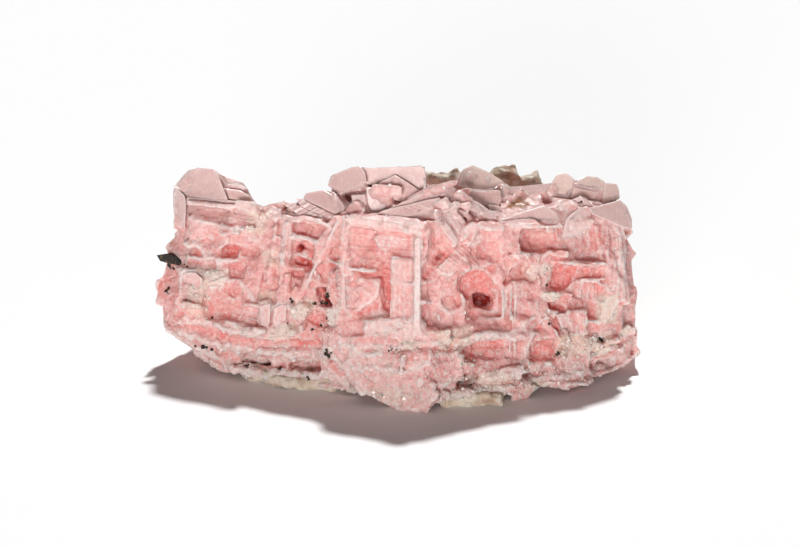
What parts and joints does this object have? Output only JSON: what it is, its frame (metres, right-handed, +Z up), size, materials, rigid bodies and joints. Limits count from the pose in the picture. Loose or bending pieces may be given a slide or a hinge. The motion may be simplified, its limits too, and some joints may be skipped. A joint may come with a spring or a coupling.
{
  "type": "halite crystal cluster",
  "caption": "Cluster of intergrown pink hopper halite cubes with stepped, pitted faces on a crust of tan, sugary salt, lying on its flat underside.",
  "frame": {"origin": "middle of the footprint, on the surface that the cluster rests on", "axes": "+X to the right along the long way of the cluster, +Y from the hopper faces to the back, +Z up"},
  "size_m": [0.1234, 0.0652, 0.0572],
  "materials": {
    "pink_halite": "milky, glassy salt",
    "tan_salt": "sugary, matt salt",
    "dark_clay": "dull, splintery clay"
  },
  "bodies": {
    "root": {"halite_cluster": "pink_halite", "salt_crust": "tan_salt", "clay_flake": "dark_clay"}
  },
  "joints": []
}
